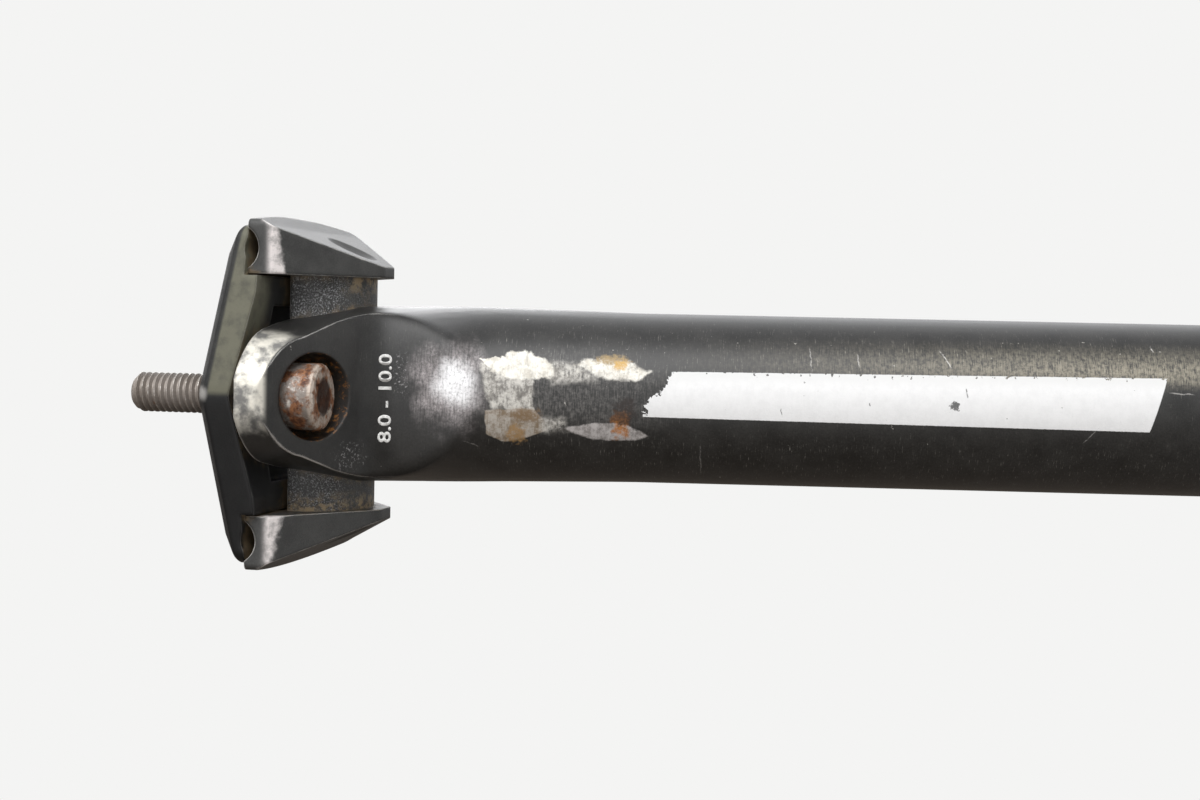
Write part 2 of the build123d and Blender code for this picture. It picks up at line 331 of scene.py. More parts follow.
# %% Edge wear
edge_wear, given, out = new_group(
    "edge_wear",
    (("Width", 0.5), ("Ragged", 0.2), ("Start", 0.03), ("Blotch", 0.6)),
    ("Mask",),
)
tree = edge_wear
place = millimetres(tree)
radius = product(tree, given["Width"], MM)
rounded = put(tree, "Bevel", {"Radius": radius}, samples=8).outputs["Normal"]
true_normal = put(tree, "NewGeometry").outputs["Normal"]
agree = put(tree, "VectorMath", {0: rounded, 1: true_normal}, operation="DOT_PRODUCT").outputs["Value"]
turned = reckon(tree, "SUBTRACT", 1.0, agree)
blotches = reckon(tree, "SUBTRACT", noise(tree, place, given["Blotch"], 5.0, 0.6), 0.5)
rubbed = reckon(tree, "MULTIPLY_ADD", blotches, given["Ragged"], turned)
shade_inputs = {"Distance": 2 * MM}
open_corner = put(tree, "AmbientOcclusion", shade_inputs, samples=6, only_local=True).outputs["AO"]
worn = ramp(tree, rubbed, given["Start"], reckon(tree, "ADD", given["Start"], 0.05))
feed(tree, out.inputs["Mask"], product(tree, worn, ramp(tree, open_corner, 0.55, 0.8)))
print("edge_wear", len(edge_wear.nodes), "nodes")

# %% [markdown]
# ### Grain
# Blasting leaves fine pits under broad, faint clouds. Both make the tone; the pits alone are the relief.

# %% Grain
grain, given, out = new_group("blasted_grain", (("Scale", 5.0),), ("Tone", "Height"))
tree = grain
place = millimetres(tree)
fine = noise(tree, place, given["Scale"], 4.0, 0.65)
broad = noise(tree, place, product(tree, given["Scale"], 0.06), 3.0)
clouds = product(tree, broad, 0.45)
feed(tree, out.inputs["Tone"], reckon(tree, "MULTIPLY_ADD", fine, 0.55, clouds))
feed(tree, out.inputs["Height"], fine)
print("blasted_grain", len(grain.nodes), "nodes")

# %% [markdown]
# ### Dirt and shade in corners
# Dust and grease stay where a cloth can't reach. Those places are in shade, and noise breaks them up. On
# the bolts the same mask also paints their shade.

# %% Dirt and shade in corners
corner_dirt_and_shade, given, out = new_group(
    "corner_dirt_and_shade", (("Reach", 3.0), ("Amount", 0.5), ("Blotch", 0.9)), ("Mask",)
)
tree = corner_dirt_and_shade
place = millimetres(tree)
reach = product(tree, given["Reach"], MM)
shade = put(tree, "AmbientOcclusion", {"Distance": reach}, samples=6).outputs["AO"]
patchy = noise(tree, place, given["Blotch"], 6.0, 0.65)
packed = reckon(tree, "MULTIPLY_ADD", reckon(tree, "SUBTRACT", 1.0, shade), 0.8, patchy)
limit = reckon(tree, "SUBTRACT", 1.35, given["Amount"])
masked = ramp(tree, packed, limit, reckon(tree, "ADD", limit, 0.15))
feed(tree, out.inputs["Mask"], masked)
print("corner_dirt_and_shade", len(corner_dirt_and_shade.nodes), "nodes")

# %% [markdown]
# ### Places on the post and the clamp
# Marks need an address. Side, height and round unroll the tube; level and back follow the leaning clamp,
# and the last value is the distance from the axis of the nearer bolt.

# %% Places on the post and the clamp
part_place, given, out = new_group(
    "part_place", (), ("Side", "Depth", "Height", "Round", "Level", "Back", "From bolt")
)
tree = part_place
place = millimetres(tree)
split = put(tree, "SeparateXYZ", {"Vector": place}).outputs
angle = reckon(tree, "ARCTAN2", split["X"], product(tree, split["Y"], -1.0))
back = along(tree, place, clamp_back)
off_axis = reckon(tree, "SUBTRACT", reckon(tree, "ABSOLUTE", back), BOLT_OFFSET)
offset = put(tree, "CombineXYZ", {"X": off_axis, "Y": split["X"]}).outputs["Vector"]
for socket_name, value in (
    ("Side", split["X"]),
    ("Depth", split["Y"]),
    ("Height", split["Z"]),
    ("Round", product(tree, angle, POST_RADIUS)),
    ("Level", along(tree, place, clamp_up)),
    ("Back", back),
    ("From bolt", put(tree, "VectorMath", {0: offset}, operation="LENGTH").outputs["Value"]),
):
    feed(tree, out.inputs[socket_name], value)
print("part_place", len(part_place.nodes), "nodes")

# %% [markdown]
# ### Ragged patches
# Rubbed and stained spots have no clean outline. The distance from a patch's middle, one at its rim, is
# pushed in and out by noise before it is cut.

# %% Ragged patches
RIM_POWER = 2.6
ragged_patch, given, out = new_group(
    "ragged_patch",
    (("Across", 0.0), ("Up", 0.0), ("Half across", 1.0), ("Half up", 1.0), ("Ragged", 0.5), ("Soft", 0.1),
     ("Blotch", 0.7), ("Place across", 0.0), ("Place up", 0.0)),
    ("Mask",),
)
tree = ragged_patch
place = millimetres(tree)
offsets = []
for way in ("across", "up"):
    shifted = reckon(tree, "SUBTRACT", given[way.title()], given["Place " + way])
    share = reckon(tree, "DIVIDE", shifted, given["Half " + way])
    offsets.append(reckon(tree, "POWER", reckon(tree, "ABSOLUTE", share), RIM_POWER))
away = reckon(tree, "POWER", reckon(tree, "ADD", *offsets), 1 / RIM_POWER)
torn = reckon(tree, "SUBTRACT", noise(tree, place, given["Blotch"], 6.0, 0.6), 0.5)
away = reckon(tree, "MULTIPLY_ADD", torn, given["Ragged"], away)
outer = reckon(tree, "ADD", 1.0, given["Soft"])
inner = reckon(tree, "SUBTRACT", 1.0, given["Soft"])
feed(tree, out.inputs["Mask"], ramp(tree, away, outer, inner))


def patch_mask(tree, where, middle, half, ragged, soft, blotch):
    """One ragged patch by its middle and half sizes, on two values that say where a place is."""
    return place_group(
        tree, ragged_patch, Across=where[0], Up=where[1], Place_across=middle[0], Place_up=middle[1],
        Half_across=half[0], Half_up=half[1], Ragged=ragged, Soft=soft, Blotch=blotch,
    )["Mask"]


print("ragged_patch", len(ragged_patch.nodes), "nodes")

# %% [markdown]
# ## The post's finish
# The post is forged aluminium, blasted to a fine grain and dyed black. Years of use have rubbed and
# stained its back. Each mark below is a mask, placed by its side and height in millimetres, and laid over
# the marks before it.


# %% Helpers for finishes
def dress(finish, *names):
    """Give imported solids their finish."""
    for name in names:
        nodes[name].data.materials.clear()
        nodes[name].data.materials.append(finish)


def bumps(tree, shader, height, depth_mm, strength, edge_round, crown=0.0):
    """Small relief on corners softened by a rounded normal; a crown leans that normal sideways."""
    radius = product(tree, edge_round, MM)
    soft = put(tree, "Bevel", {"Radius": radius}, samples=8).outputs["Normal"]
    if crown:
        sideways = put(tree, "CombineXYZ", {"X": crown}).outputs["Vector"]
        leant = put(tree, "VectorMath", {0: soft, 1: sideways}, operation="ADD").outputs["Vector"]
        soft = put(tree, "VectorMath", {0: leant}, operation="NORMALIZE").outputs["Vector"]
    inputs = {"Strength": strength, "Distance": depth_mm * MM, "Height": height, "Normal": soft}
    feed(tree, shader.inputs["Normal"], put(tree, "Bump", inputs).outputs["Normal"])


def hairlines(tree, spot, round_scale, height_scale, detail=3.0):
    """Noise drawn out round the tube, as scratches from a strap or a clamp are."""
    stretched = put(tree, "CombineXYZ", {
        "X": product(tree, spot["Round"], round_scale),
        "Y": product(tree, spot["Height"], height_scale),
    }).outputs["Vector"]
    return noise(tree, stretched, 1.0, detail, 0.6)


def surface(tree, shader, colour, metallic, rough):
    """Give the shader its varying colour, share of metal and roughness."""
    for name, value in (("Base Color", colour), ("Metallic", metallic), ("Roughness", rough)):
        feed(tree, shader.inputs[name], value)


print("material helpers ready")

# %% [markdown]
# ### The black skin
# The dyed skin varies a little in tone, and is scuffed in short lines round the tube, most on its flanks.
# A golden sheen on the upper flank is thinned dye. The lower tube has slide marks from the frame.

# %% The black skin
NECK_FOOT = 314.0
SKIN_DARK = paint(0.008, 0.0078, 0.0074)
SKIN_LIGHT = paint(0.021, 0.0203, 0.019)
BARE_METAL = paint(0.62, 0.60, 0.57)
SCUFF = paint(0.42, 0.40, 0.36)
GOLD = paint(0.30, 0.27, 0.20)
SLIDE_MARK = paint(0.30, 0.295, 0.285)
post_finish, tree, shader = new_finish("black_anodised_post", 0.42)
place = millimetres(tree)
spot = place_group(tree, part_place)
skin = place_group(tree, grain, Scale=4.0)
rear = ramp(tree, spot["Depth"], -2.0, -5.0)
base = layer(tree, ramp(tree, skin["Tone"], 0.35, 0.65), SKIN_DARK, SKIN_LIGHT)

hair = hairlines(tree, spot, 0.5, 7.0, 5.0)
fleck = noise(tree, place, 1.6, 4.0, 0.7)
scuffed = product(tree, ramp(tree, hair, 0.56, 0.74), ramp(tree, fleck, 0.42, 0.62))
upper_flank = product(tree, ramp(tree, spot["Round"], 0.0, 5.0), ramp(tree, spot["Round"], 17.0, 8.0))
lower_flank = product(tree, ramp(tree, spot["Round"], -4.0, -8.0), ramp(tree, spot["Round"], -19.0, -12.0))
scuff_share = reckon(tree, "MULTIPLY_ADD", upper_flank, 0.45, 0.14)
scuff_share = reckon(tree, "MULTIPLY_ADD", lower_flank, 0.4, scuff_share)
off_neck = ramp(tree, spot["Height"], NECK_FOOT + 8.0, NECK_FOOT, 0.25, 1.0)
base = layer(tree, product(tree, scuffed, scuff_share, off_neck), base, SCUFF)

gold = product(
    tree,
    ramp(tree, spot["Height"], 296.0, 215.0),
    ramp(tree, spot["Height"], 165.0, 205.0),
    ramp(tree, spot["Round"], 3.0, 6.4),
    ramp(tree, spot["Round"], 12.5, 5.0),
    ramp(tree, reckon(tree, "ADD", hair, fleck), 0.75, 1.2),
    0.85,
)
base = layer(tree, gold, base, GOLD)
slid = put(tree, "Mapping", {"Vector": place, "Scale": (1.6, 1.6, 0.03)}).outputs["Vector"]
slide_marks = product(
    tree,
    ramp(tree, noise(tree, slid, 1.0, 4.0, 0.6), 0.60, 0.72),
    ramp(tree, spot["Height"], 196.0, 178.0),
    0.24,
)
base = layer(tree, slide_marks, base, SLIDE_MARK)
print("skin", len(tree.nodes), "nodes")

# %% [markdown]
# ### The rubbed halo
# A strap has rubbed the slope of the neck bright. A pale core lies in a broken grey halo, both drawn out
# in lines round the tube. The core is worn metal and also a painted highlight on the bend of the neck. A
# few nicks lie beside them, and a faint haze below.

# %% The rubbed halo
HALO_GREY = paint(0.47, 0.43, 0.43)
PALE_CORE_AND_HIGHLIGHT = paint(0.86, 0.86, 0.87)
NICK = paint(0.42, 0.41, 0.41)
STRAY_FLECK = paint(0.50, 0.48, 0.44)
HAZE = paint(0.28, 0.265, 0.25)
on_back = (spot["Side"], spot["Height"])
halo = patch_mask(tree, on_back, (1.8, 323.0), (5.2, 4.6), ragged=1.7, soft=0.55, blotch=0.22)
core = patch_mask(tree, on_back, (2.2, 321.8), (2.8, 2.5), ragged=1.6, soft=0.65, blotch=0.3)
lines = hairlines(tree, spot, 0.45, 3.2, 6.0)
speckle = ramp(tree, noise(tree, place, 2.2, 5.0, 0.75), 0.34, 0.62, 0.35, 1.0)
halo = product(tree, halo, rear, speckle, ramp(tree, lines, 0.28, 0.62, 0.35, 1.0))
core_speckle = ramp(tree, speckle, 0.3, 0.8, 0.45, 1.0)
core = product(tree, core, rear, core_speckle, ramp(tree, lines, 0.25, 0.6, 0.6, 1.0))
rubbed_bare = reckon(tree, "MAXIMUM", halo, core)
base = layer(tree, product(tree, halo, 0.9), base, HALO_GREY)
# The pale core is worn metal, painted bright as a highlight on the bend too.
base = layer(tree, core, base, PALE_CORE_AND_HIGHLIGHT)

right_nicks = patch_mask(tree, on_back, (3.4, 330.4), (2.9, 1.2), ragged=1.4, soft=0.5, blotch=0.5)
left_nicks = patch_mask(tree, on_back, (-9.3, 337.4), (1.9, 1.7), ragged=1.4, soft=0.5, blotch=0.5)
nicked = reckon(tree, "MAXIMUM", right_nicks, left_nicks)
nicks = ramp(tree, noise(tree, place, 2.4, 4.0, 0.7), 0.55, 0.66)
base = layer(tree, product(tree, nicked, rear, nicks, 0.6), base, NICK)
stray = reckon(tree, "MULTIPLY_ADD", upper_flank, 0.03, noise(tree, place, 0.85, 3.0, 0.6))
stray = product(tree, ramp(tree, stray, 0.735, 0.76), ramp(tree, rear, 0.0, 1.0, 0.25, 0.5))
base = layer(tree, stray, base, STRAY_FLECK)
haze = patch_mask(tree, on_back, (0.8, 304.0), (5.5, 12.5), ragged=1.5, soft=0.6, blotch=0.3)
haze = product(tree, haze, rear, ramp(tree, reckon(tree, "ADD", hair, fleck), 0.85, 1.25), 0.28)
base = layer(tree, haze, base, HAZE)
print("halo", len(tree.nodes), "nodes")

# %% [markdown]
# ### Flaked patches
# Old white residue and tan glue have flaked off with flat, torn sides. A patch is the least distance inside
# the lines through its corners, pushed about by noise.

# %% Flaked patches
OLD_WHITE = (paint(0.50, 0.47, 0.41), paint(0.75, 0.73, 0.67))
WORN_GREY = (paint(0.15, 0.14, 0.125), paint(0.52, 0.50, 0.46))
TAN = (paint(0.17, 0.125, 0.08), paint(0.37, 0.34, 0.30))
PINK_GREY = (paint(0.19, 0.175, 0.165), paint(0.40, 0.375, 0.365))
FAR_INSIDE = 100.0


def past_line(tree, spot, first, way):
    """How far a place on the post's back lies past a point, along a direction."""
    shift = reckon(tree, "MULTIPLY_ADD", spot["Side"], way.x, -way.dot(Vector(first)))
    return reckon(tree, "MULTIPLY_ADD", spot["Height"], way.y, shift)


def flake(tree, spot, tear, corners, soft):
    """A flat-sided patch between its corners, torn by a push in and out."""
    middle = sum((Vector(corner) for corner in corners), Vector((0, 0))) / len(corners)
    inside = FAR_INSIDE
    for first, second in zip(corners, corners[1:] + corners[:1]):
        line = Vector(second) - Vector(first)
        inward = Vector((line.y, -line.x)).normalized()
        if inward.dot(middle - Vector(first)) < 0:
            inward.negate()
        inside = reckon(tree, "MINIMUM", inside, past_line(tree, spot, first, inward))
    return ramp(tree, reckon(tree, "ADD", inside, tear), -soft, soft)


tear = swing(tree, noise(tree, place, 0.6, 8.0, 0.62), 2.0)
streaky = reckon(tree, "ADD", swing(tree, lines, 0.2), noise(tree, place, 0.7, 8.0, 0.75))
mottle = ramp(tree, streaky, 0.36, 0.62)
thinned = product(tree, noise(tree, place, 1.1, 7.0, 0.72), 0.72)
worn_through = reckon(tree, "MULTIPLY_ADD", lines, 0.28, thinned)
flaked = 0.0
for corners, torn_share, soft, (dull, bright), gaps in (
    ([(5.4, 318.3), (4.8, 311.0), (2.6, 310.2), (-1.6, 309.8), (-1.8, 316.2), (0.7, 317.4)],
     1.0, 0.35, WORN_GREY, 0.45),
    ([(-1.9, 317.4), (-1.5, 309.9), (-3.6, 308.0), (-4.9, 307.8), (-6.3, 311.7), (-6.8, 314.5),
      (-5.6, 317.2)],
     0.35, 0.12, TAN, 0.85),
    ([(5.6, 308.0), (5.6, 302.5), (3.2, 300.5), (2.6, 307.0)], 1.0, 0.8, WORN_GREY, 0.15),
    ([(-3.2, 309.0), (-3.0, 305.2), (-4.6, 304.8), (-5.0, 308.4)], 1.0, 0.8, WORN_GREY, 0.1),
    ([(-4.4, 305.6), (-3.6, 301.0), (-3.5, 296.0), (-5.4, 292.0), (-6.2, 294.2), (-6.1, 300.8)],
     0.6, 0.16, PINK_GREY, 0.6),
    ([(5.4, 303.6), (6.2, 301.6), (6.2, 298.3), (6.0, 295.2), (4.4, 292.2), (3.2, 293.3), (3.2, 299.0)],
     1.0, 0.3, OLD_WHITE, 0.4),
    ([(7.0, 314.2), (7.3, 311.5), (6.3, 308.2), (4.2, 306.6), (3.4, 307.0), (2.9, 313.0), (4.2, 316.4)],
     1.0, 0.22, OLD_WHITE, 0.7),
    ([(6.0, 318.5), (6.5, 314.4), (5.6, 313.0), (4.2, 315.6)], 1.0, 0.08, OLD_WHITE, 0.85),
):
    shape = flake(tree, spot, product(tree, tear, torn_share), corners, soft)
    cover = product(tree, shape, rear, ramp(tree, worn_through, 0.36, 0.52, gaps, 1.0))
    base = layer(tree, cover, base, layer(tree, mottle, dull, bright))
    flaked = reckon(tree, "MAXIMUM", flaked, cover)
print("patches", len(tree.nodes), "nodes")

# %% [markdown]
# ### Single scratches
# A few scratches stand alone. Each is a thin line between two places. The patches' tear bends it, and flecks
# break it, so that it doesn't look ruled.


# %% Single scratches
def scratch(tree, spot, tear, fleck, first, second, half_width):
    """A thin broken scratch between two places, fading at both ends."""
    line = Vector(second) - Vector(first)
    way = line.normalized()
    run = past_line(tree, spot, first, way)
    off = past_line(tree, spot, first, Vector((-way.y, way.x)))
    off = reckon(tree, "MULTIPLY_ADD", tear, 0.35, off)
    return product(
        tree,
        ramp(tree, fleck, 0.36, 0.52),
        ramp(tree, reckon(tree, "ABSOLUTE", off), half_width, 0.3 * half_width),
        ramp(tree, run, 0.0, 0.25 * line.length),
        ramp(tree, run, line.length, 0.75 * line.length),
    )


for first, second, half_width, strength in (
    ((8.9, 247.8), (5.9, 245.7), 0.14, 0.6),
    ((8.1, 260.3), (5.8, 259.9), 0.12, 0.4),
    ((9.0, 267.5), (4.9, 267.2), 0.12, 0.4),
    ((10.2, 215.4), (9.1, 215.0), 0.15, 0.6),
    ((3.1, 213.5), (2.9, 209.2), 0.12, 0.4),
    ((-6.0, 284.1), (-11.8, 283.8), 0.12, 0.16),
    ((-6.7, 320.9), (-7.8, 318.3), 0.12, 0.2),
    ((-5.1, 226.0), (-2.1, 223.5), 0.10, 0.2),
):
    line = scratch(tree, spot, tear, fleck, first, second, half_width)
    base = layer(tree, product(tree, line, rear, strength), base, BARE_METAL)
print("scratches", len(tree.nodes), "nodes")

# %% [markdown]
# ### Rust runs
# Rusty water has stained the edges of the patches. Small, very ragged patches of brown stand for it.

# %% Rust runs
speckled = ramp(tree, noise(tree, place, 2.6, 6.0, 0.75), 0.34, 0.55, 0.45, 1.0)
for middle, half, colour in (
    ((6.2, 298.0), (0.7, 2.2), paint(0.28, 0.19, 0.07)),
    ((5.4, 296.6), (0.7, 1.0), paint(0.50, 0.30, 0.07)),
    ((-3.5, 296.4), (1.9, 1.2), paint(0.36, 0.13, 0.015)),
    ((-1.8, 295.9), (2.1, 1.7), paint(0.012, 0.006, 0.004)),
    ((-5.4, 312.6), (1.3, 1.5), paint(0.28, 0.17, 0.07)),
    ((-2.4, 311.2), (0.9, 2.2), paint(0.15, 0.09, 0.04)),
):
    stain = patch_mask(tree, on_back, middle, half, ragged=2.4, soft=0.4, blotch=1.2)
    base = layer(tree, product(tree, stain, rear, speckled, 0.9), base, colour)
print("rust runs", len(tree.nodes), "nodes")

# %% [markdown]
# ### The painted stripe
# A white stripe widens a little down the tube. It is cut by its four sides, and noise tears its upper end.

# %% The painted stripe
STRIPE_TOP = 4.75
STRIPE_BOTTOM = -2.45
STRIPE_START = 288.4
STRIPE_END = 213.4
STRIPE_LENGTH = STRIPE_START - STRIPE_END
share = reckon(tree, "DIVIDE", reckon(tree, "SUBTRACT", STRIPE_START, spot["Height"]), STRIPE_LENGTH)
wobble = swing(tree, noise(tree, place, 2.5, 4.0), 0.12)
crosswise = reckon(tree, "ADD", spot["Round"], wobble)
under_top = reckon(tree, "SUBTRACT", reckon(tree, "MULTIPLY_ADD", share, 0.66, STRIPE_TOP), crosswise)
over_bottom = reckon(tree, "SUBTRACT", crosswise, reckon(tree, "MULTIPLY_ADD", share, -0.55, STRIPE_BOTTOM))
slanted_end = reckon(tree, "MULTIPLY_ADD", under_top, 0.31, STRIPE_END)
before_end = reckon(tree, "SUBTRACT", spot["Height"], slanted_end)
torn = swing(tree, noise(tree, place, 0.55, 6.0, 0.65), 9.0)
torn_start = reckon(tree, "ADD", reckon(tree, "MULTIPLY_ADD", under_top, 0.75, STRIPE_START), torn)
past_start = reckon(tree, "SUBTRACT", torn_start, spot["Height"])
near_top = ramp(tree, under_top, 1.2, 0.0, 0.0, 0.13)
chips = reckon(tree, "ADD", noise(tree, place, 1.1, 6.0, 0.6), near_top)
stripe = product(
    tree,
    rear,
    ramp(tree, under_top, -0.05, 0.05),
    ramp(tree, over_bottom, -0.05, 0.05),
    ramp(tree, before_end, -0.05, 0.05),
    ramp(tree, past_start, -0.08, 0.08),
    ramp(tree, chips, 0.73, 0.70),
)
chip_corners = [(-0.5, 246.5), (0.4, 246.3), (1.1, 245.3), (0.9, 244.5), (-0.2, 245.0)]
chip_tear = swing(tree, noise(tree, place, 1.3, 6.0, 0.7), 3.0)
ticks = flake(tree, spot, chip_tear, chip_corners, 0.1)
for first, second in (
    ((-0.5, 271.8), (-1.7, 271.7)),
    ((0.6, 258.4), (0.0, 258.3)),
    ((3.3, 243.9), (1.5, 243.5)),
    ((5.1, 267.5), (4.3, 267.4)),
    ((5.4, 261.3), (4.8, 261.3)),
    ((5.3, 245.2), (4.7, 245.0)),
):
    tick = scratch(tree, spot, tear, fleck, first, second, 0.14)
    ticks = reckon(tree, "MAXIMUM", ticks, tick)
stripe = reckon(tree, "SUBTRACT", stripe, product(tree, stripe, ticks, 0.85))
white = layer(tree, mottle, paint(0.64, 0.64, 0.64), paint(0.68, 0.68, 0.68))
# Towards its upper edge, which faces the light, the stripe is painted a little greyer: painted shade.
white = layer(tree, ramp(tree, under_top, 2.4, 0.2), white, paint(0.59, 0.59, 0.585))
base = layer(tree, stripe, base, white)
print("stripe", len(tree.nodes), "nodes")

# %% [markdown]
# ### Worn edges
# The black is through along the edges of the head, most at its lower left. The recess keeps its rim.

# %% Worn edges
RECESS_RADIUS = 6.6
low_edge = patch_mask(tree, on_back, (-8.5, 345.0), (4.5, 5.0), ragged=0.6, soft=0.4, blotch=0.5)
fresh_edge = place_group(tree, edge_wear, Width=0.7, Ragged=0.1, Start=0.03, Blotch=0.8)["Mask"]
edges = place_group(tree, edge_wear, Width=0.6, Ragged=0.6, Start=0.14, Blotch=0.3)["Mask"]
edges = reckon(tree, "MAXIMUM", edges, product(tree, fresh_edge, low_edge))
on_tube = ramp(tree, spot["Height"], 200.0, 190.0)
on_head = ramp(tree, spot["Height"], 330.0, 336.0)
off_rim = ramp(tree, spot["From bolt"], RECESS_RADIUS + 0.5, RECESS_RADIUS + 1.0)
edges = product(tree, edges, off_rim, reckon(tree, "ADD", on_head, on_tube))
base = layer(tree, product(tree, edges, 0.85), base, BARE_METAL)
print("edges", len(tree.nodes), "nodes")

# %% [markdown]
# ### The nose and the bolt's recess
# The nose of the rear lug is rubbed bare down to the edge of the sloping face below it. The recess in that
# face is painted darker as shade, with specks of rust.

# %% The nose and the recess
FACET_RUN = 0.4557
FACET_LEVEL = -7.7
NOSE_DULL = paint(0.15, 0.147, 0.14)
NOSE_BRIGHT = paint(0.72, 0.69, 0.61)
on_lug = (spot["Side"], spot["Level"])
nose = patch_mask(tree, on_lug, (2.9, -2.2), (6.9, 5.6), ragged=1.1, soft=0.3, blotch=0.22)
facet_start = FACET_LEVEL - BOLT_OFFSET * FACET_RUN
facet = reckon(tree, "MULTIPLY_ADD", spot["Back"], FACET_RUN, facet_start)
above_facet = reckon(tree, "SUBTRACT", spot["Level"], facet)
nose = product(tree, nose, ramp(tree, spot["Back"], 19.0, 23.0), ramp(tree, above_facet, 0.1, 0.5))
nose_blotch = ramp(tree, noise(tree, place, 0.35, 5.0, 0.6), 0.36, 0.60)
base = layer(tree, product(tree, nose, 0.9), base, layer(tree, nose_blotch, NOSE_DULL, NOSE_BRIGHT))

in_recess = product(
    tree,
    ramp(tree, spot["From bolt"], RECESS_RADIUS + 0.15, RECESS_RADIUS + 0.05),
    ramp(tree, spot["Level"], -12.5, -11.0),
)
specks = product(tree, in_recess, ramp(tree, noise(tree, place, 0.9, 6.0, 0.7), 0.52, 0.62))
# The recess is darkened as painted shade.
base = layer(tree, product(tree, in_recess, 0.7), base, paint(0.012, 0.009, 0.007))
base = layer(tree, product(tree, specks, 0.8), base, paint(0.22, 0.09, 0.02))
print("nose and recess", len(tree.nodes), "nodes")

# %% [markdown]
# ### The finished post
# Bare metal is shinier and chalky paint duller than the skin. A faint crown on the sloping face lets its
# tone change from side to side, as a forged face does.

# %% The finished post
CROWN = 0.03
dust = place_group(tree, corner_dirt_and_shade, Reach=2.5, Amount=0.42, Blotch=0.8)["Mask"]
above_neck = ramp(tree, spot["Height"], NECK_FOOT + 8.0, NECK_FOOT + 14.0)
base = layer(tree, product(tree, dust, above_neck, 0.5), base, paint(0.20, 0.16, 0.11))

bare = reckon(tree, "MAXIMUM", product(tree, nose, nose_blotch), edges)
bare = reckon(tree, "MAXIMUM", bare, rubbed_bare)
chalky = reckon(tree, "MAXIMUM", flaked, stripe)
rough = reckon(tree, "MULTIPLY_ADD", skin["Tone"], 0.16, 0.34)
rough = reckon(tree, "MAXIMUM", rough, product(tree, chalky, 0.62))
surface(tree, shader, base, product(tree, bare, 0.35), rough)
relief = reckon(tree, "MULTIPLY_ADD", chalky, 0.6, product(tree, skin["Height"], 0.5))
edge_round = ramp(tree, spot["Height"], 338.0, 330.0, 0.6, 3.5)
up_the_face = ramp(tree, spot["Height"], NECK_FOOT, NECK_FOOT + 12.0)
on_face = product(tree, rear, up_the_face, ramp(tree, above_facet, 1.2, 0.3))
crown = product(tree, on_face, spot["Side"], CROWN)
bumps(tree, shader, relief, 0.04, 0.6, edge_round, crown)
dress(post_finish, "post")
print("post finish", len(tree.nodes), "nodes")

# %% [markdown]
# ## The clamp's finish
# The cradle and the plate are forged and painted black. They share one skin, and each adds its own marks.


# %% The forged black skin
ROAD_DIRT = paint(0.23, 0.17, 0.10)


def forged_skin(name, dark, light, dirt_amount, edge_start):
    """Start a clamp finish: black paint with grain, corner dirt and bright edges."""
    finish, tree, shader = new_finish(name, 0.42)
    place = millimetres(tree)
    spot = place_group(tree, part_place)
    skin = place_group(tree, grain, Scale=5.0)
    black = paint(dark, dark, 0.97 * dark)
    grey = paint(light, light, 0.95 * light)
    base = layer(tree, ramp(tree, skin["Tone"], 0.35, 0.65), black, grey)
    edges = place_group(tree, edge_wear, Width=0.5, Ragged=0.5, Start=edge_start, Blotch=0.35)["Mask"]
    base = layer(tree, product(tree, edges, 0.75), base, BARE_METAL)
    dirt = place_group(tree, corner_dirt_and_shade, Reach=3.0, Amount=dirt_amount, Blotch=0.7)["Mask"]
    rough = reckon(tree, "MULTIPLY_ADD", skin["Tone"], 0.2, 0.42)
    return finish, tree, shader, place, spot, skin, base, edges, dirt, rough


print("forged skin ready")

# %% [markdown]
# ### The cradle
# The paint is through on the heels of the ears, where saddle rails slide in. The barrel keeps a sparkly
# blasted skin with tan road dirt packed against the ears.

# %% The cradle
HEEL_BACK = 17.6
HEEL_SLANT = 0.2
RAIL_SIDE = 22.0
finish, tree, shader, place, spot, skin, base, edges, dirt, rough = forged_skin(
    "cradle_black", 0.022, 0.046, 0.50, 0.13
)
outward = reckon(tree, "ABSOLUTE", spot["Side"])
on_barrel = product(tree, ramp(tree, outward, 18.4, 17.9), ramp(tree, spot["Level"], 1.0, -0.5))
sparkle = ramp(tree, noise(tree, place, 4.5, 3.0, 0.7), 0.50, 0.66)
sparkle = product(tree, sparkle, ramp(tree, spot["Level"], -8.6, -6.2, 0.25, 1.0))
base = layer(tree, product(tree, on_barrel, sparkle, 0.75), base, paint(0.46, 0.46, 0.47))
heel_reach = reckon(tree, "MULTIPLY_ADD", outward, HEEL_SLANT, HEEL_BACK - RAIL_SIDE * HEEL_SLANT)
heel_place = reckon(tree, "ADD", spot["Back"], swing(tree, noise(tree, place, 0.5, 5.0, 0.6), 2.0))
past_heel = reckon(tree, "SUBTRACT", heel_place, heel_reach)
heel = product(
    tree,
    ramp(tree, past_heel, -0.5, 0.6),
    ramp(tree, spot["Level"], -5.0, -3.6),
    ramp(tree, spot["Level"], 1.4, 0.2),
    ramp(tree, outward, 17.9, 18.3),
    ramp(tree, spot["Back"], 19.32, 18.75),
)
heel = product(tree, heel, ramp(tree, noise(tree, place, 0.9, 6.0, 0.7), 0.3, 0.6, 0.45, 1.0))
base = layer(tree, product(tree, heel, 0.95), base, paint(0.82, 0.77, 0.755))
base = layer(tree, product(tree, dirt, 0.75), base, ROAD_DIRT)
grit = noise(tree, place, 0.8, 7.0, 0.7)
by_ear = ramp(tree, outward, 14.6, 18.1)
lower_share = ramp(tree, spot["Side"], 1.0, -1.0, 0.32, 0.52)
ledge = product(tree, by_ear, on_barrel, ramp(tree, reckon(tree, "ADD", grit, lower_share), 0.98, 1.12))
